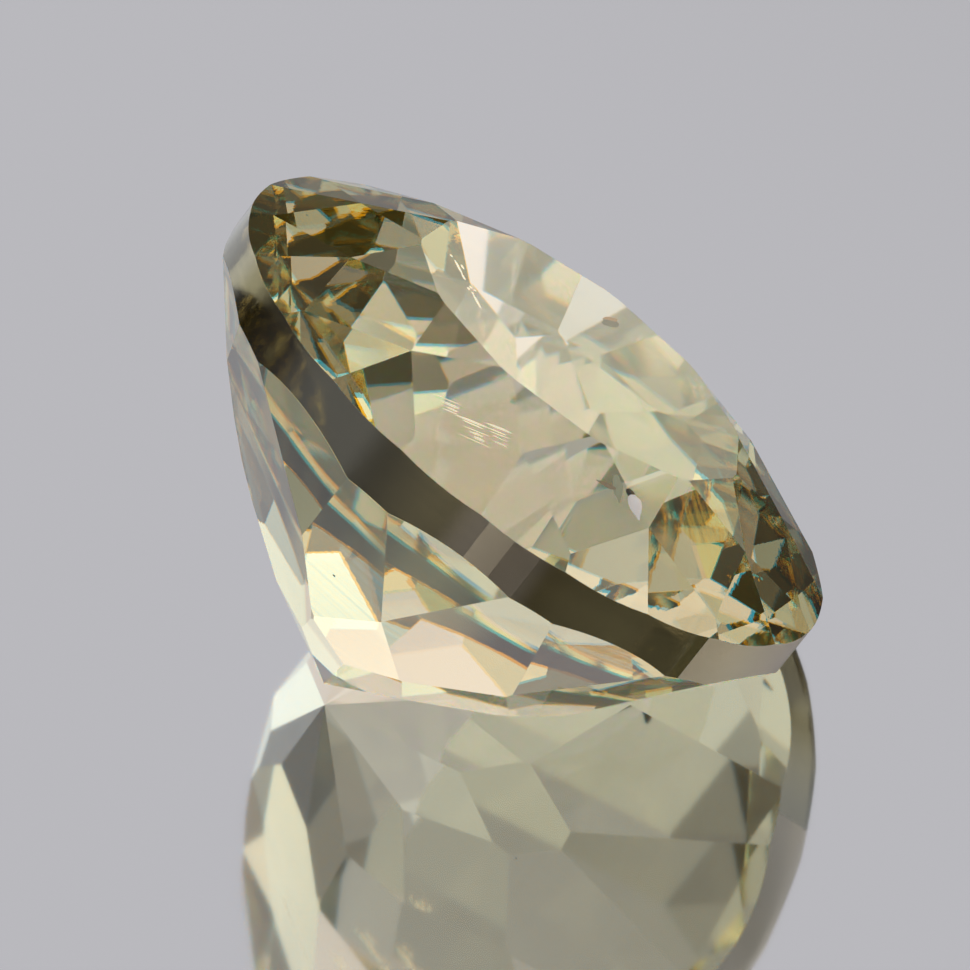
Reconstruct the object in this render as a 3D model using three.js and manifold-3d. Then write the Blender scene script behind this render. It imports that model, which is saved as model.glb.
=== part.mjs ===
// A cut and polished diaspore gemstone, lying on one of its pavilion facets.
// Units are millimetres. The stone is cut in its own frame, with the middle of the girdle's upper edge at the
// origin and the table facing +Z, and is then laid on its rest facet with +Z up.
//
// The stone is a round blank, and every facet is a flat that cuts it, as on a faceting wheel. A facet is given
// the way a cutter's chart gives it: the azimuth it faces, its slope from the girdle's plane, and its depth.
// The stone was cut by hand, so the azimuths aren't quite even and some facets stray from their tier's slope.
// The breaks of the stone's far half were cut a little deeper, so the girdle is thinner there.

import * as THREE from "three";
import { mergeVertices } from "three/addons/utils/BufferGeometryUtils.js";
import Module from "manifold-3d";

const wasm = await Module();
wasm.setup();

// The blank.
const GIRDLE_DIAMETER = 10.0;
const GIRDLE_SIDES = 144;
const GIRDLE_RADIUS = GIRDLE_DIAMETER / 2;
const BLANK_LENGTH = 13;

// The crown: a flat table in a ring of kite mains, with star facets between the kites' tops and a pair of
// break facets between their feet.
const TABLE_HEIGHT = 1.05;
const CROWN_MAIN_COUNT = 11;
const CROWN_MAIN_SLOPE = 25.5;
const CROWN_FIRST_AZIMUTH = -5;
const STAR_TIP_RADIUS = 3.8;
const STAR_SLOPE = 20.5;
const CROWN_BREAK_SLOPE = 29;
const CROWN_BREAK_OFFSET = 7.5;

// The pavilion's first tier: mains, which start this far below the girdle's upper edge. Each is written as
// azimuth, then how far it strays from the tier's slope and start.
const PAVILION_MAIN = { slope: 50, start: 0.78 };
const PAVILION_MAINS = [
  [-169.5, 2.5, -0.12],
  [-141.5, -4, -0.07],
  [-101.5, 0, 0.06],
  [-71, 0, -0.02],
  [-37.5, 0.5, 0.01],
  [-2, -1, 0.03],
  [34, 0, 0.03],
  [67.5, 2, 0.05],
  [98.5, 2, 0.05],
  [129.5, 2, 0.05],
  [161.5, 2, 0.05],
];

// The breaks stand steeper, between the mains, and scallop the girdle's lower edge.
const PAVILION_BREAK = { slope: 54.5, start: 0.66 };
const PAVILION_BREAKS = [
  [-154.5, 0.5, -0.09],
  [-122.5, 0, -0.04],
  [-85.5, -0.5, 0.01],
  [-55.5, 0.5, -0.02],
  [-19.5, -1, -0.03],
  [17, -0.5, 0.02],
  [50.5, 0, 0],
  [83.5, -1.5, -0.2],
  [114.5, -1.5, -0.2],
  [145.5, -1.5, -0.2],
  [176.5, -1.5, -0.2],
];

// The second tier lies under the breaks. Its depth is the distance of the facet's flat from the origin.
const SECOND_TIER = { slope: 40, distance: 4.37 };
const SECOND_TIER_FACETS = [
  [-155, 2, 0.07],
  [-122, 2, 0.04],
  [-86, 2.5, 0.01],
  [-51, 0, -0.01],
  [-19, -0.5, 0.01],
  [11.5, 0.5, -0.03],
  [46, -0.5, 0],
  [81.5, 2, 0],
  [113.5, 2, 0],
  [145.5, 2, 0],
  [177.5, 2, 0],
];
const REST_FACET = 6;

// The third tier closes the pavilion: all its facets meet in one point, the culet.
const CULET_DEPTH = 5.39;
const THIRD_TIER = { slope: 34 };
const THIRD_TIER_FACETS = [
  [-175, 0.5],
  [-140.5, 1],
  [-105.5, -1],
  [-66, 0],
  [-32, 0.5],
  [-5.5, 0.5],
  [30, -1],
  [66.5, -2],
  [98.5, 1],
  [129.5, 1],
  [161.5, 1],
];

// Which way the stone is turned on the surface that it lies on.
const TURN_ON_SURFACE = 25;

const radians = THREE.MathUtils.degToRad;

// The outward direction of a facet: slope is from the girdle's plane, and side is 1 on the crown and -1 on
// the pavilion.
function facing(azimuth, slope, side) {
  const a = radians(azimuth);
  const s = radians(slope);
  return new THREE.Vector3(Math.sin(s) * Math.cos(a), Math.sin(s) * Math.sin(a), side * Math.cos(s));
}

// A facet whose flat passes through a point given by azimuth, radius and height.
function facetThrough(azimuth, slope, side, point) {
  const a = radians(point.azimuth);
  const place = new THREE.Vector3(point.radius * Math.cos(a), point.radius * Math.sin(a), point.height);
  const normal = facing(azimuth, slope, side);
  return { normal, distance: normal.dot(place) };
}

function crownFacets() {
  const step = 360 / CROWN_MAIN_COUNT;
  const fall = Math.tan(radians(CROWN_MAIN_SLOPE));
  // A star's tip lies on the kites' flats on both its sides.
  const tipHeight = (GIRDLE_RADIUS - STAR_TIP_RADIUS * Math.cos(radians(step / 2))) * fall;
  const facets = [{ normal: new THREE.Vector3(0, 0, 1), distance: TABLE_HEIGHT }];
  for (let i = 0; i < CROWN_MAIN_COUNT; i++) {
    const azimuth = CROWN_FIRST_AZIMUTH + i * step;
    const foot = { azimuth, radius: GIRDLE_RADIUS, height: 0 };
    facets.push(facetThrough(azimuth, CROWN_MAIN_SLOPE, 1, foot));
    const tip = { azimuth: azimuth + step / 2, radius: STAR_TIP_RADIUS, height: tipHeight };
    facets.push(facetThrough(tip.azimuth, STAR_SLOPE, 1, tip));
    facets.push(facetThrough(azimuth + CROWN_BREAK_OFFSET, CROWN_BREAK_SLOPE, 1, tip));
    facets.push(facetThrough(azimuth + step - CROWN_BREAK_OFFSET, CROWN_BREAK_SLOPE, 1, tip));
  }
  return facets;
}

// First-tier facets start on the girdle, below its upper edge.
function girdleTier(tier, list) {
  return list.map(([azimuth, slopeError, startError]) => {
    const point = { azimuth, radius: GIRDLE_RADIUS, height: -(tier.start + startError) };
    return facetThrough(azimuth, tier.slope + slopeError, -1, point);
  });
}

function secondTier() {
  return SECOND_TIER_FACETS.map(([azimuth, slopeError, distanceError]) => ({
    normal: facing(azimuth, SECOND_TIER.slope + slopeError, -1),
    distance: SECOND_TIER.distance + distanceError,
  }));
}

function thirdTier() {
  const culet = { azimuth: 0, radius: 0, height: -CULET_DEPTH };
  return THIRD_TIER_FACETS.map(([azimuth, slopeError]) =>
    facetThrough(azimuth, THIRD_TIER.slope + slopeError, -1, culet),
  );
}

// A closed geometry as a solid: only its corners' places are kept, each once.
function solidOf(geometry) {
  geometry.deleteAttribute("normal");
  geometry.deleteAttribute("uv");
  const merged = mergeVertices(geometry);
  return new wasm.Manifold(
    new wasm.Mesh({
      numProp: 3,
      vertProperties: new Float32Array(merged.attributes.position.array),
      triVerts: new Uint32Array(merged.index.array),
    }),
  );
}

function geometryOf(solid) {
  const mesh = solid.getMesh();
  const geometry = new THREE.BufferGeometry();
  geometry.setAttribute("position", new THREE.BufferAttribute(new Float32Array(mesh.vertProperties), 3));
  geometry.setIndex(new THREE.BufferAttribute(new Uint32Array(mesh.triVerts), 1));
  return geometry;
}

// What the wheel takes away for one facet: a wide block whose near face lies on the facet's flat.
function groundAway({ normal, distance }) {
  const width = 4 * GIRDLE_DIAMETER;
  const depth = 2 * GIRDLE_DIAMETER;
  const block = new THREE.BoxGeometry(width, width, depth);
  block.translate(0, 0, depth / 2 + distance);
  block.applyQuaternion(new THREE.Quaternion().setFromUnitVectors(new THREE.Vector3(0, 0, 1), normal));
  return solidOf(block);
}

function cutStone() {
  const blank = new THREE.CylinderGeometry(GIRDLE_RADIUS, GIRDLE_RADIUS, BLANK_LENGTH, GIRDLE_SIDES);
  blank.rotateX(Math.PI / 2);
  const facets = [
    ...crownFacets(),
    ...girdleTier(PAVILION_MAIN, PAVILION_MAINS),
    ...girdleTier(PAVILION_BREAK, PAVILION_BREAKS),
    ...secondTier(),
    ...thirdTier(),
  ];
  let stone = solidOf(blank);
  for (const facet of facets) stone = stone.subtract(groundAway(facet));
  return geometryOf(stone);
}

// Turns the stone so that its rest facet faces straight down, and stands it on the surface with the middle
// of its box over the origin.
function layDown(stone) {
  const [azimuth, slopeError] = SECOND_TIER_FACETS[REST_FACET];
  stone.rotation.set(0, 0, radians(-azimuth));
  const tilted = new THREE.Group();
  tilted.add(stone);
  tilted.rotation.set(0, radians(SECOND_TIER.slope + slopeError), 0);
  const laid = new THREE.Group();
  laid.add(tilted);
  laid.rotation.set(0, 0, radians(TURN_ON_SURFACE));
  laid.updateMatrixWorld(true);
  const box = new THREE.Box3().setFromObject(laid, true);
  const middle = box.getCenter(new THREE.Vector3());
  laid.position.set(-middle.x, -middle.y, -box.min.z);
  return laid;
}

const polished = new THREE.MeshStandardMaterial({
  color: "#b9b08c",
  roughness: 0.03,
  metalness: 0,
  transparent: true,
  opacity: 0.6,
  flatShading: true,
});

const gem = new THREE.Mesh(cutStone(), polished);
gem.name = "cut_stone";

const gemstone = new THREE.Group();
gemstone.add(layDown(gem));

export default gemstone;
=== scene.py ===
import bmesh
import bpy
import numpy as np
from mathutils import Matrix, Vector


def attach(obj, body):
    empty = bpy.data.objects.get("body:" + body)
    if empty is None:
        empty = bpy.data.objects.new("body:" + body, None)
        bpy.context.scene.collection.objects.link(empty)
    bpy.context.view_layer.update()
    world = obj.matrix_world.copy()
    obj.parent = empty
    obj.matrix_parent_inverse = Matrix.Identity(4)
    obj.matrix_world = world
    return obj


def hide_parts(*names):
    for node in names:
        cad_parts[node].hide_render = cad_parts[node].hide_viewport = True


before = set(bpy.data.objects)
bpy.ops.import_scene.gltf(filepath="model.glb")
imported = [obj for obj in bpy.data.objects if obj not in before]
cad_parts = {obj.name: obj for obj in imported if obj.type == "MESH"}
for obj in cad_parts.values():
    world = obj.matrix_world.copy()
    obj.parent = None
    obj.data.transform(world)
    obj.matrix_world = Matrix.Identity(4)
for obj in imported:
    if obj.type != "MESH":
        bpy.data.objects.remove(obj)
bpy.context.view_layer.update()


# The gemstone: one piece of clear pale olive diaspore, sawn from the rough, ground to a round outline and
# then cut and polished facet by facet on a lap. Its facets meet in fine, slightly worn edges. The girdle
# round its widest part was only ground and brushed over, so it is less glossy than the facets; its darker
# tone is painted shade, and its pale lavender patches are painted reflections.
NODE = "cut_stone"
MM = 1000

# How the stone lies: the azimuth and slope of the facet that it rests on, and its turn on the floor. Its own
# frame follows from them: two directions in the girdle's plane, and the axis, which points out of the table.
REST_AZIMUTH, REST_SLOPE, TURN = np.radians((46, 39.5, 25))
lean = Matrix.Rotation(REST_SLOPE, 3, "Y") @ Matrix.Rotation(-REST_AZIMUTH, 3, "Z")
ACROSS, SIDE, AXIS = (Matrix.Rotation(TURN, 3, "Z") @ lean).transposed()

# The culet, where the lowest facets meet, lies CULET_DEPTH under the middle of the girdle's upper edge.
CULET_DEPTH = 0.00539
GIRDLE_RADIUS = 0.005
culet = min((v.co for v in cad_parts[NODE].data.vertices), key=AXIS.dot)
GIRDLE_CENTRE = culet + CULET_DEPTH * AXIS

# Corners nearer than SAME_POINT are one, and edges under FLAT_ANGLE aren't there on the real stone.
SAME_POINT = 2e-7
FLAT_ANGLE = np.radians(0.3)
EDGE_ANGLE = np.radians(4)
WORN_EDGE = 0.000008

# A face is on the girdle if its normal's part along the axis is under GIRDLE_LEAN, and it is the table if
# that part is over TABLE_FACING. A face whose level direction is shorter than NO_LEVEL has none.
GIRDLE_LEAN = 0.03
TABLE_FACING = 0.99
NO_LEVEL = 0.02

# How deep the lap lines are on each part, as a share of LAP_DEPTH.
TABLE_LINES, CROWN_LINES, PAVILION_LINES = 0.05, 0.25, 1.0

# Where the near girdle was left dull, with a painted pale lavender reflection on it: from and to, as its
# outward direction along ACROSS, and how dull, which also sets how strong that painted reflection is.
MATT_AND_SHEEN_SPANS = [(0.07, 0.19, 0.7), (0.19, 0.24, 0.3), (0.776, 1.0, 1.0)]


def mark_faces(mesh, name, values):
    """Gives each face of a mesh one number, for its material to read."""
    attribute = mesh.attributes.new(name, "FLOAT", "FACE")
    attribute.data.foreach_set("value", values.astype(np.float32))


def cut_stone_mesh():
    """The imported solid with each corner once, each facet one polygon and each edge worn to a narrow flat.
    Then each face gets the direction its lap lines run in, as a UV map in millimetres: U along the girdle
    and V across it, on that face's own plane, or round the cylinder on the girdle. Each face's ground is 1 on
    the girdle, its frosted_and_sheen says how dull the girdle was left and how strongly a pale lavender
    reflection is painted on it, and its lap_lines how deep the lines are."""
    stone = bmesh.new()
    stone.from_mesh(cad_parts[NODE].data)
    bmesh.ops.remove_doubles(stone, verts=stone.verts, dist=SAME_POINT)
    bmesh.ops.dissolve_limit(stone, angle_limit=FLAT_ANGLE, verts=stone.verts, edges=stone.edges)
    edges = [e for e in stone.edges if e.calc_face_angle() > EDGE_ANGLE]
    bmesh.ops.bevel(stone, geom=edges, offset=WORN_EDGE, offset_type="OFFSET", segments=1, profile=0.5,
                    affect="EDGES", clamp_overlap=True)
    mesh = bpy.data.meshes.new("polished_stone")
    stone.normal_update()
    on_girdle = np.array([abs(f.normal.dot(AXIS)) < GIRDLE_LEAN for f in stone.faces])
    for edge in stone.edges:
        edge.smooth = all(abs(f.normal.dot(AXIS)) < GIRDLE_LEAN for f in edge.link_faces)
    for face in stone.faces:
        face.smooth = True
    stone.to_mesh(mesh)
    stone.free()

    place = np.empty(len(mesh.vertices) * 3)
    mesh.vertices.foreach_get("co", place)
    place = place.reshape(-1, 3) - np.array(GIRDLE_CENTRE)
    corner = np.empty(len(mesh.loops), int)
    mesh.loops.foreach_get("vertex_index", corner)
    count = np.array([p.loop_total for p in mesh.polygons])
    face = np.repeat(np.arange(len(count)), count)
    normal = np.array([p.normal for p in mesh.polygons])
    across, side, axis = np.array([ACROSS, SIDE, AXIS])
    along = np.cross(axis, normal)
    length = np.linalg.norm(along, axis=1, keepdims=True)
    along = np.where(length > NO_LEVEL, along / np.maximum(length, NO_LEVEL), across)
    up = np.cross(normal, along)
    at = place[corner]
    round_girdle = np.arctan2(-(at @ across), at @ side) * GIRDLE_RADIUS
    u = np.where(on_girdle[face], round_girdle, (at * along[face]).sum(1))
    v = np.where(on_girdle[face], at @ axis, (at * up[face]).sum(1))
    lap = mesh.uv_layers.new(name="lap")
    lap.data.foreach_set("uv", (np.stack([u, v], 1) * MM).astype(np.float32).ravel())

    out_across, facing = normal @ across, normal @ axis
    near = on_girdle & (normal @ side < 0)
    # How dull each near girdle face is; the same share sets its painted lavender reflection.
    matt = sum(near * (out_across > low) * (out_across < high) * share for low, high, share in MATT_AND_SHEEN_SPANS)
    lines = np.where(facing > 0, CROWN_LINES, PAVILION_LINES)
    mark_faces(mesh, "ground", on_girdle)
    mark_faces(mesh, "frosted_and_sheen", matt)
    mark_faces(mesh, "lap_lines", np.where(facing > TABLE_FACING, TABLE_LINES, lines))
    return mesh


# Diaspore, lapped and polished: glass-clear inside with a weak olive-brown body colour, a high index that
# makes its facets mirror each other, and faint lap lines on the pavilion. It bends blue light more than red,
# which draws orange and blue fringes along the facets seen inside it. The ground girdle spreads the light.
INDEX = 1.70
INDEX_OF_COLOUR = (("#ffbc00", 1.690), ("#00bcff", 1.710))
BODY_COLOUR, BODY_DENSITY = "#d5cc83", 92.0
FACET_ROUGH, GIRDLE_ROUGH, MATT_ROUGH = 0.0, 0.06, 0.3

# Real lap lines are a few thousandths of a millimetre apart. These are up to 5 mm long, about 0.14 mm apart
# and 0.0004 mm deep, so that they show.
LAP_LINES_PER_MM = (0.2, 7.0, 1.0)
LAP_DEPTH = 4e-7


def linear(hex_colour):
    """An sRGB hex colour as linear RGB with full alpha."""
    s = np.array([int(hex_colour[i : i + 2], 16) for i in (1, 3, 5)]) / 255
    low, high = s / 12.92, ((s + 0.055) / 1.055) ** 2.4
    return (*np.where(s <= 0.04045, low, high), 1.0)


def add(tree, kind, settings=None, **links):
    """Adds one shader node. Settings are plain values for its sockets, by name or place, or for its own
    properties. Links join its sockets to other nodes' outputs: _ stands for a space, and in1 for the second
    socket."""
    node = tree.nodes.new(kind)
    for name, value in (settings or {}).items():
        if isinstance(name, int) or name in node.inputs:
            node.inputs[name].default_value = value
        else:
            setattr(node, name, value)
    for name, source in links.items():
        socket = int(name[2:]) if name[:2] == "in" and name[2:].isdigit() else name.replace("_", " ")
        tree.links.new(source, node.inputs[socket])
    return node


diaspore = bpy.data.materials.new("polished diaspore")
diaspore.use_nodes = True
tree = diaspore.node_tree
tree.nodes.clear()
girdle = add(tree, "ShaderNodeAttribute", {"attribute_name": "ground"}).outputs["Fac"]
matt = add(tree, "ShaderNodeAttribute", {"attribute_name": "frosted_and_sheen"}).outputs["Fac"]
lapped = add(tree, "ShaderNodeAttribute", {"attribute_name": "lap_lines"}).outputs["Fac"]

# The lap lines, as a bump on every face.
lap_map = add(tree, "ShaderNodeUVMap", {"uv_map": "lap"})
stretch = add(tree, "ShaderNodeMapping", {"Scale": LAP_LINES_PER_MM}, Vector=lap_map.outputs["UV"])
streaks = add(tree, "ShaderNodeTexNoise", {"Scale": 1.0, "Detail": 1.5}, Vector=stretch.outputs["Vector"])
cuts = add(tree, "ShaderNodeMath", {"operation": "MULTIPLY"}, in0=streaks.outputs["Fac"], in1=lapped)
bump = add(tree, "ShaderNodeBump", {"Strength": 1.0, "Distance": LAP_DEPTH}, Height=cuts.outputs["Value"])

# The girdle's roughness, and its streaky grey-brown tone: grind streaks with painted shade in them, turned
# to a painted pale lavender reflection where it is dull.
roughness = add(tree, "ShaderNodeMapRange", {"To Min": FACET_ROUGH, "To Max": GIRDLE_ROUGH}, Value=girdle)
roughness = add(tree, "ShaderNodeMath", {"operation": "MULTIPLY_ADD", 1: MATT_ROUGH},
                in0=matt, in2=roughness.outputs["Result"])
# Painted shade: the girdle's dark grey-brown tone, streaked along its grind lines.
grind_streaks_and_shade = add(tree, "ShaderNodeMix", {"data_type": "RGBA", 6: linear("#453f33"), 7: linear("#6b6454")},
               in0=streaks.outputs["Fac"])
# Painted reflection: the pale lavender that the dull parts of the girdle are tinted to.
girdle_shade_and_sheen = add(tree, "ShaderNodeMix", {"data_type": "RGBA", 7: linear("#e6dcff")},
            in0=matt, in6=grind_streaks_and_shade.outputs[2])
tint = add(tree, "ShaderNodeMix", {"data_type": "RGBA", 6: (1, 1, 1, 1)}, in0=girdle, in7=girdle_shade_and_sheen.outputs[2])

# Light that enters a facet is split between the two colours, and it isn't split again on its way out.
inside = add(tree, "ShaderNodeBsdfPrincipled", {"IOR": INDEX, "Transmission Weight": 1.0},
             Base_Color=tint.outputs[2], Roughness=roughness.outputs["Value"], Normal=bump.outputs["Normal"])
entering = None
for tone, index in INDEX_OF_COLOUR:
    share = add(tree, "ShaderNodeBsdfGlass", {"Color": linear(tone), "IOR": index, "Roughness": FACET_ROUGH},
                Normal=bump.outputs["Normal"]).outputs["BSDF"]
    if entering:
        share = add(tree, "ShaderNodeAddShader", None, in0=entering, in1=share).outputs["Shader"]
    entering = share
shape = add(tree, "ShaderNodeNewGeometry")
unsplit = add(tree, "ShaderNodeMath", {"operation": "MAXIMUM"}, in0=shape.outputs["Backfacing"], in1=girdle)
surface = add(tree, "ShaderNodeMixShader", None,
              in0=unsplit.outputs["Value"], in1=entering, in2=inside.outputs["BSDF"])
body = add(tree, "ShaderNodeVolumeAbsorption", {"Color": linear(BODY_COLOUR), "Density": BODY_DENSITY})
add(tree, "ShaderNodeOutputMaterial", None, Surface=surface.outputs["Shader"], Volume=body.outputs["Volume"])


def stand(name, mesh, material):
    """Puts a mesh that is already in its place into the scene, with its material."""
    piece = bpy.data.objects.new(name, mesh)
    bpy.context.scene.collection.objects.link(piece)
    mesh.materials.append(material)
    return piece


stone = stand("polished_stone", cut_stone_mesh(), diaspore)
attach(stone, "root")
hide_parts(NODE)


# Tubes in healed cracks: fine tubes filled with gas, left where a crack inside the crystal grew together
# again. Three fans of them lie side by side in one crack, and one broken line of them lies under the table.
# Their walls mirror the light from all round; here that cream-white is a pale tone with a painted glow.
STONE_FRAME = np.array([ACROSS, SIDE, AXIS])


def marks(name, middles, ways, flats, sizes, lumps=0.0, taper=0.0, rings=5, sides=8, seed=3):
    """Closed ellipsoids, all in one mesh, in millimetres in the stone's own frame: across, side and axis. A
    point at angle p from a mark's first pole and turn t round it lies cos p along its way, sin p sin t along
    its flat direction and sin p cos t across both, each times that half size. Its distance from the middle is
    scaled by 1 + lumps sin(3 t + 2 p + q) sin(2 p + 3 q), with a phase q of its own, and its girth by
    1 + taper cos p."""
    middles = np.atleast_2d(middles).astype(float)
    count = len(middles)
    ways, flats, sizes = (np.broadcast_to(np.array(v, float), (count, 3)) for v in (ways, flats, sizes))
    way = ways / np.linalg.norm(ways, axis=1, keepdims=True)
    flat = flats - (flats * way).sum(1, keepdims=True) * way
    flat = flat / np.linalg.norm(flat, axis=1, keepdims=True)
    wide = np.cross(flat, way)
    q = np.random.default_rng(seed).uniform(0, 2 * np.pi, (count, 1))
    p = np.concatenate([[0], np.repeat(np.arange(1, rings) * np.pi / rings, sides), [np.pi]])
    t = np.concatenate([[0], np.tile(np.arange(sides) * 2 * np.pi / sides, rings - 1), [0]])
    reach = 1 + lumps * np.sin(3 * t + 2 * p + q) * np.sin(2 * p + 3 * q)
    girth = np.sin(p) * (1 + taper * np.cos(p)) * reach
    local = [np.cos(p) * reach, girth * np.cos(t), girth * np.sin(t)]
    place = middles[:, None] + sum(
        part[..., None] * (sizes[:, k, None, None] * side[:, None])
        for k, (part, side) in enumerate(zip(local, (way, wide, flat)))
    )
    ring = np.arange(sides)
    after = (ring + 1) % sides
    last = 1 + (rings - 2) * sides
    poles = np.concatenate([
        np.stack([0 * ring, 1 + ring, 1 + after], 1),
        np.stack([0 * ring + last + sides, last + after, last + ring], 1),
    ])
    belt = np.concatenate([
        np.stack([ring, ring + sides, after + sides, after], 1) + 1 + r * sides for r in range(rings - 2)
    ])
    start = np.arange(count)[:, None, None] * place.shape[1]
    faces = (poles + start).reshape(-1, 3).tolist() + (belt + start).reshape(-1, 4).tolist()
    mesh = bpy.data.meshes.new(name)
    mesh.from_pydata(np.array(GIRDLE_CENTRE) + place.reshape(-1, 3) @ STONE_FRAME / MM, [], faces)
    mesh.shade_smooth()
    return mesh


def mottled(name, tones, grain_mm, roughness, painted_glint=0.0):
    """A mineral finish that drifts between two tones over grains of the given size. A painted_glint makes it
    glow in its paler tone: a painted reflection that stands in for the light a wall in the crystal mirrors
    from all round."""
    material = bpy.data.materials.new(name)
    material.use_nodes = True
    tree = material.node_tree
    finish = tree.nodes["Principled BSDF"]
    finish.inputs["Roughness"].default_value = roughness
    place = add(tree, "ShaderNodeTexCoord")
    grain = add(tree, "ShaderNodeTexNoise", {"Scale": MM / grain_mm, "Detail": 2.0},
                Vector=place.outputs["Object"])
    mix = add(tree, "ShaderNodeMix", {"data_type": "RGBA", 6: linear(tones[0]), 7: linear(tones[1])},
              in0=grain.outputs["Fac"])
    tree.links.new(mix.outputs[2], finish.inputs["Base Color"])
    # Painted glow: emission in the paler tone, as strong as painted_glint.
    finish.inputs["Emission Color"].default_value = linear(tones[1])
    finish.inputs["Emission Strength"].default_value = painted_glint
    return material


def include(mesh, material):
    """Puts an inclusion into the stone, named as its mesh is."""
    piece = stand(mesh.name, mesh, material)
    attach(piece, "root")


# The tubes of a fan lie one above another in its crack, each a little further along than the one below and
# with a small drift of its own. A fan is its middle and its number of tubes.
CRACK_FACES = np.array((0.0, -0.77, 0.65))
TUBE_WAY = np.array((0.957, 0.186, 0.22))
STACK_WAY = np.cross(CRACK_FACES, TUBE_WAY)
TUBE_HALF, TUBE_THICK, TUBE_STEP = 0.20, 0.015, 0.058
FAN_LEAN, TUBE_DRIFT, TUBE_SHIFT = 0.6, 0.03, 0.3
TUBE_LENGTHS, TUBE_GIRTHS = (0.45, 1.15), (0.4, 1.5)
FANS = [((-0.98, -3.70, 0.437), 4), ((-0.47, -3.84, 0.43), 6), ((-0.196, -3.67, 0.537), 5)]
draw = np.random.default_rng(11)
tubes = np.array([
    np.array(middle) + (i - 0.5 * count + 0.5) * TUBE_STEP * (FAN_LEAN * TUBE_WAY - STACK_WAY)
    for middle, count in FANS for i in range(count)
])
tubes += draw.normal(0, TUBE_DRIFT, (len(tubes), 1)) * TUBE_WAY
tubes += draw.uniform(-TUBE_SHIFT, TUBE_SHIFT, (len(tubes), 1)) * TUBE_STEP * STACK_WAY
drift = TUBE_WAY + draw.normal(0, TUBE_DRIFT, (len(tubes), 1)) * STACK_WAY
halves = TUBE_HALF * draw.uniform(*TUBE_LENGTHS, len(tubes))
thick = TUBE_THICK * draw.uniform(*TUBE_GIRTHS, len(tubes))

# Each piece of the broken line is its place along the line, how far it lies to one side, and half its length.
LINE_START, LINE_END = np.array((-2.381, -0.008, 0.95)), np.array((-1.49, -1.193, 0.95))
LINE_WIDE = 0.026
LINE_PIECES = [(0.30, 0, 0.19), (0.26, -0.1, 0.06), (0.47, 0.01, 0.08), (0.88, 0, 0.19), (0.63, -0.03, 0.03),
               (0.68, 0.04, 0.03), (0.66, -0.09, 0.02), (0.12, 0.03, 0.03), (0.74, 0.0, 0.03)]
TABLE_FACES = (0, 0, 1)
along = LINE_END - LINE_START
beside = np.cross(along / np.linalg.norm(along), TABLE_FACES)
share, aside, half = np.array(LINE_PIECES).T
line = LINE_START + share[:, None] * along + aside[:, None] * beside
line_sizes = np.stack([half, 0 * half + LINE_WIDE, 0 * half + TUBE_THICK], 1)

# Painted glow on the tubes: their cream-white is a pale tone made bright by painted_glint.
gas = mottled("gas-filled tube", ("#fff0cf", "#fff3d8"), 0.05, 0.3, painted_glint=0.65)
include(marks("tube_fans", tubes, drift, CRACK_FACES, np.stack([halves, thick, thick], 1), lumps=0.3), gas)
include(marks("broken_tube_line", line, along, TABLE_FACES, line_sizes, lumps=0.15, seed=5), gas)


# Foreign minerals: iron-stained grains that the crystal grew round. The largest is a dull dark dash under the
# table with a rusty coat on its upper side. The next has a thin white film of fluid beside it, and a stained
# crack and a grey-green crystal at its other end. The last is a speck in the pavilion. The film's white, and
# the lighter look of the coat, crack and crystal, come partly from a painted glow.
UNDER_TABLE = np.array((0.0, -0.55, 0.83))
DASH_WAY = (1, 1.58, 1.05)
film_mesh = marks("fluid_film", (1.905, -2.87, 0.64), (-0.705, 0.46, 0.547), CRACK_FACES,
                  (0.185, 0.10, 0.015), lumps=0.12, taper=0.6, rings=12, sides=16)
grains_mesh = marks(
    "iron_stained_grains",
    [(0.08, 1.88, 0.82), (1.72, -2.735, 0.70), (-0.807, -3.30, -2.65)],
    [DASH_WAY, (1, -0.2, 0.2), (1, 0, 0)],
    [UNDER_TABLE, CRACK_FACES, CRACK_FACES],
    [(0.19, 0.085, 0.03), (0.08, 0.055, 0.03), (0.022, 0.018, 0.018)],
    lumps=0.2, rings=8, sides=12)
rust_mesh = marks("rusty_coat", (0.04, 1.97, 0.875), DASH_WAY, UNDER_TABLE, (0.17, 0.055, 0.025),
                  lumps=0.15, rings=8, sides=12)
stain_mesh = marks("stained_crack", (1.38, -2.97, 0.665), (0.93, 0.20, 0.25), CRACK_FACES,
                   (0.14, 0.035, 0.012), lumps=0.35, taper=0.5, rings=8, sides=12)
crystal_mesh = marks("included_crystal", (1.545, -2.87, 0.69), (0.55, -0.3, -0.75), CRACK_FACES,
                     (0.19, 0.075, 0.02), lumps=0.35, taper=-0.3, rings=8, sides=12)
# The film, coat, crack and crystal get a painted glow through painted_glint; the dark grain has none.
include(film_mesh, mottled("fluid film", ("#cfc8cc", "#ece6e8"), 0.08, 0.3, painted_glint=0.34))
include(grains_mesh, mottled("iron-stained grain", ("#2e1d14", "#523620"), 0.06, 0.8))
include(rust_mesh, mottled("rusty coat", ("#96571f", "#b0702c"), 0.06, 0.8, painted_glint=0.2))
include(stain_mesh, mottled("stained crack", ("#7d6a52", "#95826a"), 0.06, 0.6, painted_glint=0.35))
include(crystal_mesh, mottled("included grey-green mineral", ("#85876f", "#9fa088"), 0.08, 0.4, painted_glint=0.4))


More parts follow.
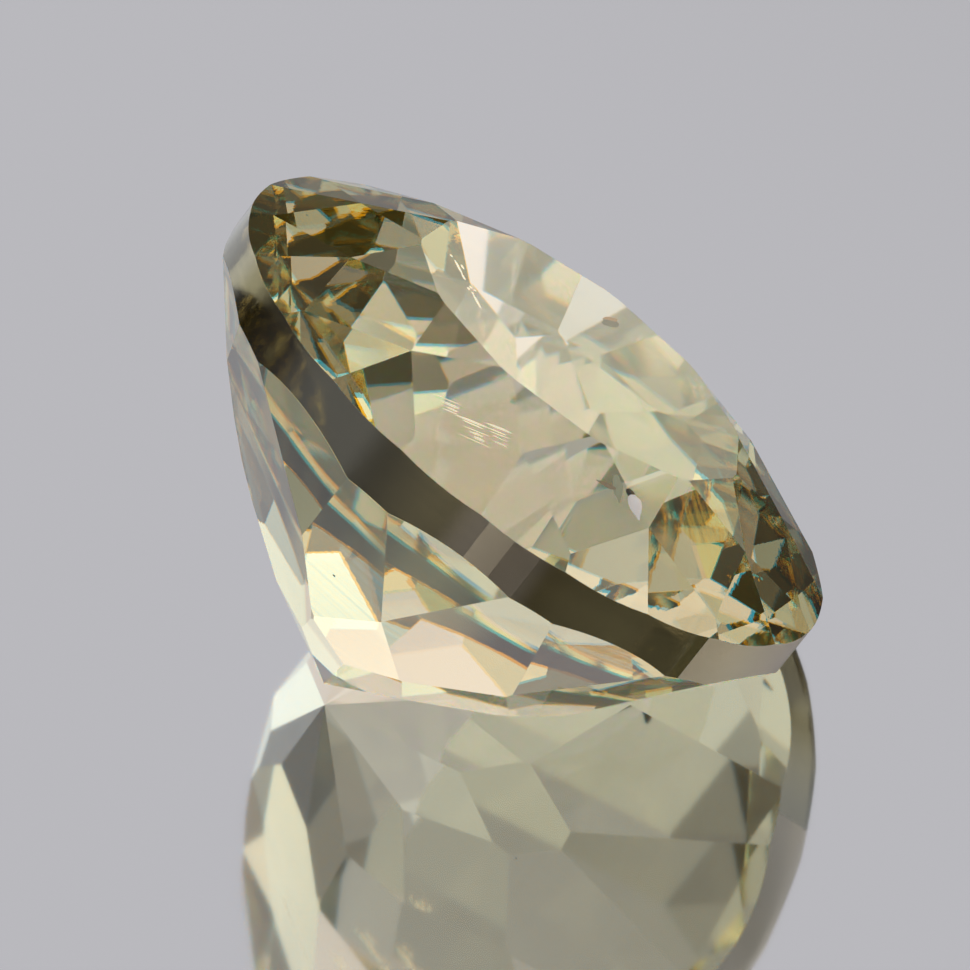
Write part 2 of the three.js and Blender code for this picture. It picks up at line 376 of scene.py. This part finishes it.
# Dust: specks about a hundredth of a millimetre across, caught as the crystal grew, in a loose cloud near
# the stone's left end, where they show as grey haze. A few larger single ones lie at its right end and in the
# pavilion.
DUST_COUNT, DUST_SPREAD = 90, 0.6
DUST_HALF, DUST_SHAPE = (0.003, 0.008), (1.6, 1, 1)
DUST_MIDDLE, DUST_REACH = np.array((-2.55, -1.77, 0.60)), np.array((0.45, 0.35, 0.06))
SINGLE_SIZE = 0.014
SINGLE_SPECKS = [(3.15, -0.02, 0.75), (4.09, -0.29, 0.27), (3.22, -1.73, 0.50), (4.31, -1.51, 0.05),
                 (2.37, -1.57, -3.25), (-3.05, -1.1, -2.5)]
dust = DUST_MIDDLE + draw.normal(0, DUST_SPREAD, (DUST_COUNT, 3)) * DUST_REACH
dust = np.concatenate([dust, SINGLE_SPECKS])
grit = draw.uniform(*DUST_HALF, (len(dust), 1)) * np.array(DUST_SHAPE)
grit[-len(SINGLE_SPECKS):] = SINGLE_SIZE
ways, flats = draw.normal(0, 1, dust.shape), draw.normal(0, 1, dust.shape)
haze = mottled("dust in diaspore", ("#8d8b78", "#b5b29c"), 0.08, 0.5)
include(marks("dust", dust, ways, flats, grit, rings=4, sides=6), haze)


# The floor: a plain pale sheet with a polished, faintly soft shine. It lies a hundredth of a millimetre under
# the stone.
FLOOR_HALF = 0.6
UNDER = 1e-5
floor_mesh = bpy.data.meshes.new("floor")
corners = [(x * FLOOR_HALF, y * FLOOR_HALF, -UNDER) for x, y in ((-1, -1), (1, -1), (1, 1), (-1, 1))]
floor_mesh.from_pydata(corners, [], [(0, 1, 2, 3)])
sheet = bpy.data.materials.new("polished pale sheet")
sheet.use_nodes = True
sheet_finish = sheet.node_tree.nodes["Principled BSDF"].inputs
sheet_finish["Base Color"].default_value = linear("#eceef3")
sheet_finish["Metallic"].default_value = 1.0
sheet_finish["Roughness"].default_value = 0.06
floor = stand("floor", floor_mesh, sheet)


# The light: a dim room with soft lights and dark cards round the stone, each a disc on the sky with a soft
# rim. Azimuth is from +Y towards +X. Each is azimuth, elevation, radius in degrees, colour and strength.
ROOM = "#3e3619"
RIM = 0.3
LIGHTS = [
    (309, 62, 49, "#fffcfd", 0.58),
    (8, 87, 29, "#fff2f4", 1.15),
    (81, 32, 26, "#fdfff3", 1.62),
    (128, 3, 17, "#fffae6", 1.31),
    (235, 28, 37, "#fffef2", 0.97),
    (32, 0, 20, "#fff8da", 1.54),
    (214, 20, 20, "#fdfff0", 0.29),
    (334, 19, 21, "#fffffc", 0.95),
    (190, 14, 12, "#fff3e9", 1.35),
    (38, 31, 20, "#fff7e9", 0.08),
    (347, 9, 16, "#fffbe5", 0.18),
    (122, 70, 9, "#fefff3", 1.79),
]

world = bpy.data.worlds.new("studio")
bpy.context.scene.world = world
world.use_nodes = True
sky = world.node_tree
sky.nodes.clear()
way = add(sky, "ShaderNodeTexCoord").outputs["Generated"]
colour = add(sky, "ShaderNodeRGB").outputs[0]
colour.default_value = linear(ROOM)
for azimuth, elevation, radius, tone, strength in LIGHTS:
    a, e, r = np.radians([azimuth, elevation, radius])
    middle = (np.sin(a) * np.cos(e), np.cos(a) * np.cos(e), np.sin(e))
    near = add(sky, "ShaderNodeVectorMath", {"operation": "DOT_PRODUCT", 1: middle}, in0=way)
    outer, inner = np.cos((1 + RIM) * r), np.cos((1 - RIM) * r)
    share = add(sky, "ShaderNodeMapRange",
                {"interpolation_type": "SMOOTHSTEP", "From Min": outer, "From Max": inner},
                Value=near.outputs["Value"])
    lamp = Vector(linear(tone)) * strength
    mix = add(sky, "ShaderNodeMix", {"data_type": "RGBA", 7: lamp}, in0=share.outputs["Result"], in6=colour)
    colour = mix.outputs[2]
glow = add(sky, "ShaderNodeBackground", {"Strength": 1.0}, Color=colour)
add(sky, "ShaderNodeOutputWorld", None, Surface=glow.outputs["Background"])

# The camera looks down at the photograph's angle. The aim is off the girdle's middle, to the left and down.
ELEVATION = np.radians(44)
LENS, SENSOR = 300, 36
FRAME_WIDTH = 0.013806
AIM_RIGHT, AIM_UP = -0.000779, -0.001126
NEAREST, FURTHEST = 0.005, 10
RIGHT = Vector((1, 0, 0))
back = Vector((0, -np.cos(ELEVATION), np.sin(ELEVATION)))
up = back.cross(RIGHT)
camera = bpy.data.objects.new("camera", bpy.data.cameras.new("camera"))
camera.data.lens = LENS
camera.data.sensor_width = SENSOR
camera.location = GIRDLE_CENTRE + RIGHT * AIM_RIGHT + up * AIM_UP + back * (FRAME_WIDTH * LENS / SENSOR)
camera.rotation_mode = "QUATERNION"
camera.rotation_quaternion = back.to_track_quat("Z", "Y")
camera.data.clip_start = NEAREST
camera.data.clip_end = FURTHEST
bpy.context.scene.collection.objects.link(camera)
bpy.context.scene.camera = camera

# Light goes through many facets before it leaves the stone, so it may bounce many times.
BOUNCES = 24
scene = bpy.context.scene
scene.view_settings.view_transform = "Standard"
scene.cycles.max_bounces = BOUNCES
scene.cycles.transmission_bounces = BOUNCES
scene.cycles.glossy_bounces = BOUNCES
